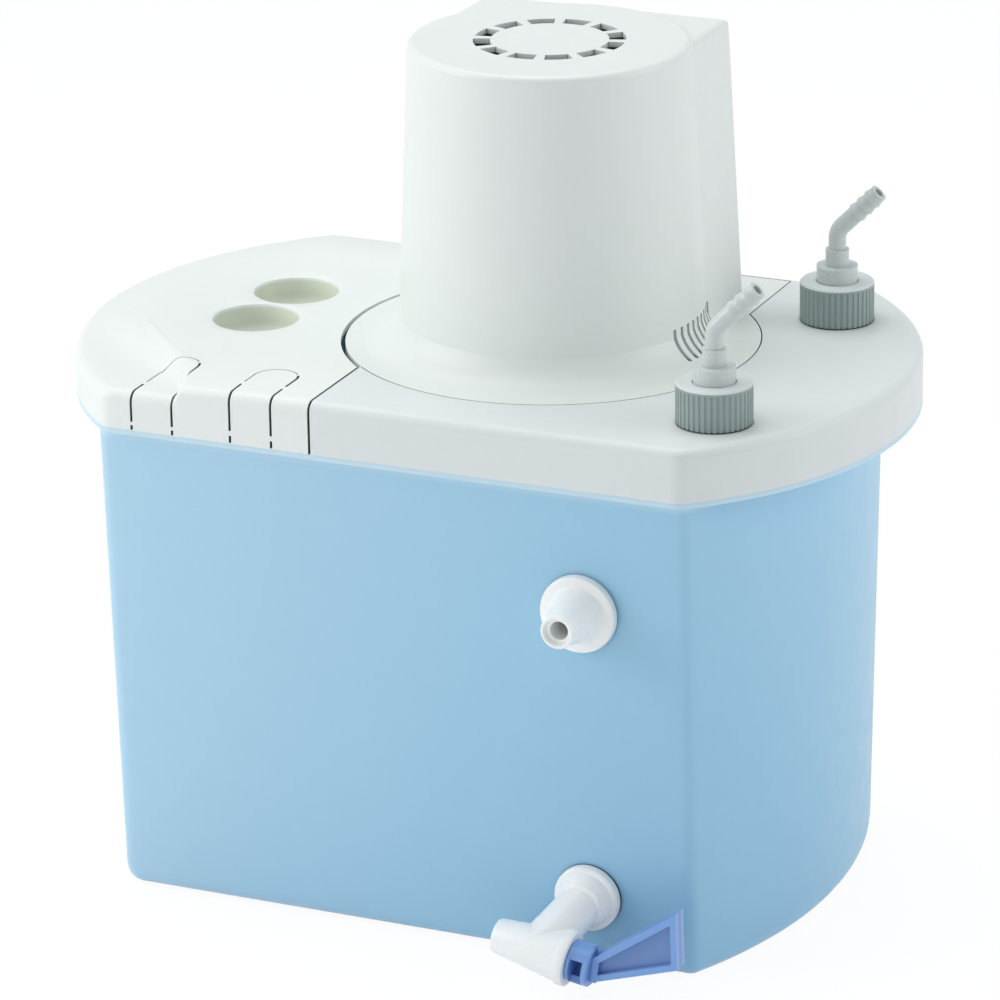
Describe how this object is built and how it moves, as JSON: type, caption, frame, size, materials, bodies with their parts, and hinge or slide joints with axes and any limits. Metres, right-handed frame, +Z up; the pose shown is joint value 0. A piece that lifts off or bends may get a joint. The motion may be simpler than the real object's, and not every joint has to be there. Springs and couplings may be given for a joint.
{
  "type": "water circulating vacuum aspirator",
  "caption": "Benchtop water-jet vacuum aspirator: oblong tank with lift-off lid, domed motor cover, barbed suction ports, overflow nozzle and lever drain cock.",
  "frame": {"origin": "centre of the tank's base, on the surface it stands on", "axes": "+Z up, -Y toward the straight front with the overflow nozzle and drain cock, +X toward the suction ports"},
  "size_m": [0.402, 0.2839, 0.409],
  "materials": {
    "tank_blue": "moulded, softly glossy",
    "lid_white": "moulded, softly glossy",
    "cover_white": "moulded, softly glossy",
    "fitting_white": "moulded, glossy",
    "cap_grey": "moulded, fine satin",
    "lever_blue": "moulded, glossy",
    "pump_plastic": "moulded",
    "pipe_plastic": "extruded",
    "strainer_plastic": "moulded",
    "impeller_plastic": "moulded",
    "fan_plastic": "moulded",
    "black_plastic": "moulded",
    "terminal_resin": "moulded",
    "capacitor_shell": "moulded",
    "rubber_black": "matte",
    "motor_enamel": "satin enamel",
    "cast_alloy": "as cast",
    "galvanised": "zinc plated",
    "bearing_steel": "ground",
    "shaft_steel": "turned",
    "screw_steel": "zinc plated",
    "jet_brass": "turned"
  },
  "bodies": {
    "aspirator": {"tank": "tank_blue", "deck": "lid_white", "motor_cover": "cover_white", "cover_screws": "screw_steel", "motor_plate": "galvanised", "motor_body": "motor_enamel", "motor_end_bell": "cast_alloy", "lower_bearing": "bearing_steel", "upper_bearing": "bearing_steel", "motor_screws": "screw_steel", "capacitor": "capacitor_shell", "terminal_block": "terminal_resin", "switch_frame": "black_plastic", "cord_inlet": "black_plastic", "pump_column": "pump_plastic", "pump_housing": "pump_plastic", "pump_base_plate": "pump_plastic", "pump_screws": "screw_steel", "intake_strainer": "strainer_plastic", "riser_pipe": "pipe_plastic", "header_pipe": "pipe_plastic", "overflow_nozzle": "fitting_white", "overflow_gasket": "rubber_black", "overflow_nut": "fitting_white", "drain_body": "fitting_white", "drain_gasket": "rubber_black", "drain_nut": "fitting_white", "ejector_body_front": "pump_plastic", "jet_nozzle_front": "jet_brass", "diffuser_front": "pipe_plastic", "suction_elbow_front": "pipe_plastic", "port_socket_front": "fitting_white", "socket_nut_front": "fitting_white", "ejector_body_rear": "pump_plastic", "jet_nozzle_rear": "jet_brass", "diffuser_rear": "pipe_plastic", "suction_elbow_rear": "pipe_plastic", "port_socket_rear": "fitting_white", "socket_nut_rear": "fitting_white"},
    "lift_lid": {"left_lid": "lid_white"},
    "rotor": {"motor_shaft": "shaft_steel", "impeller": "impeller_plastic", "cooling_fan": "fan_plastic", "shaft_slinger": "rubber_black"},
    "drain_plug": {"drain_lever": "lever_blue"},
    "rocker": {"switch_rocker": "black_plastic"},
    "check_disc_front": {"valve_disc_front": "rubber_black"},
    "union_seat_front": {"port_seal_front": "rubber_black"},
    "union_front": {"union_cap_front": "cap_grey"},
    "nozzle_front": {"hose_nozzle_front": "fitting_white"},
    "check_disc_rear": {"valve_disc_rear": "rubber_black"},
    "union_seat_rear": {"port_seal_rear": "rubber_black"},
    "union_rear": {"union_cap_rear": "cap_grey"},
    "nozzle_rear": {"hose_nozzle_rear": "fitting_white"}
  },
  "joints": [
    {"name": "lid_lift", "type": "slide", "parent": "aspirator", "child": "lift_lid", "axis": [0, 0, 1], "range_m": [0, 0.12]},
    {"name": "rotor_spin", "type": "hinge", "parent": "aspirator", "child": "rotor", "pos_m": [0.0255, 0.002, 0.2], "axis": [0, 0, 1], "continuous": true},
    {"name": "drain_turn", "type": "hinge", "parent": "aspirator", "child": "drain_plug", "pos_m": [0.057, -0.146, 0.0232], "axis": [0.9877, 0, -0.1564], "range_deg": [0, 90]},
    {"name": "rocker_tilt", "type": "hinge", "parent": "aspirator", "child": "rocker", "pos_m": [-0.0045, 0.07119, 0.34], "axis": [1, 0, 0], "range_deg": [-18, 0]},
    {"name": "check_lift_front", "type": "slide", "parent": "aspirator", "child": "check_disc_front", "axis": [0, 0, 1], "range_m": [0, 0.003]},
    {"name": "union_rise_front", "type": "slide", "parent": "aspirator", "child": "union_seat_front", "axis": [0, 0, 1], "range_m": [0, 0.0061]},
    {"name": "union_turn_front", "type": "hinge", "parent": "union_seat_front", "child": "union_front", "pos_m": [0.1408, -0.083, 0.27], "axis": [0, 0, 1], "range_deg": [0, 720]},
    {"name": "nozzle_swivel_front", "type": "hinge", "parent": "union_seat_front", "child": "nozzle_front", "pos_m": [0.1408, -0.083, 0.28], "axis": [0, 0, 1], "range_deg": [-180, 180]},
    {"name": "check_lift_rear", "type": "slide", "parent": "aspirator", "child": "check_disc_rear", "axis": [0, 0, 1], "range_m": [0, 0.003]},
    {"name": "union_rise_rear", "type": "slide", "parent": "aspirator", "child": "union_seat_rear", "axis": [0, 0, 1], "range_m": [0, 0.0061]},
    {"name": "union_turn_rear", "type": "hinge", "parent": "union_seat_rear", "child": "union_rear", "pos_m": [0.1408, 0.075, 0.27], "axis": [0, 0, 1], "range_deg": [0, 720]},
    {"name": "nozzle_swivel_rear", "type": "hinge", "parent": "union_seat_rear", "child": "nozzle_rear", "pos_m": [0.1408, 0.075, 0.28], "axis": [0, 0, 1], "range_deg": [-180, 180]}
  ],
  "couplings": [
    {"joint": "union_rise_front", "follows": "union_turn_front", "m_per_rad": 0.00047746},
    {"joint": "union_rise_rear", "follows": "union_turn_rear", "m_per_rad": 0.00047746}
  ]
}
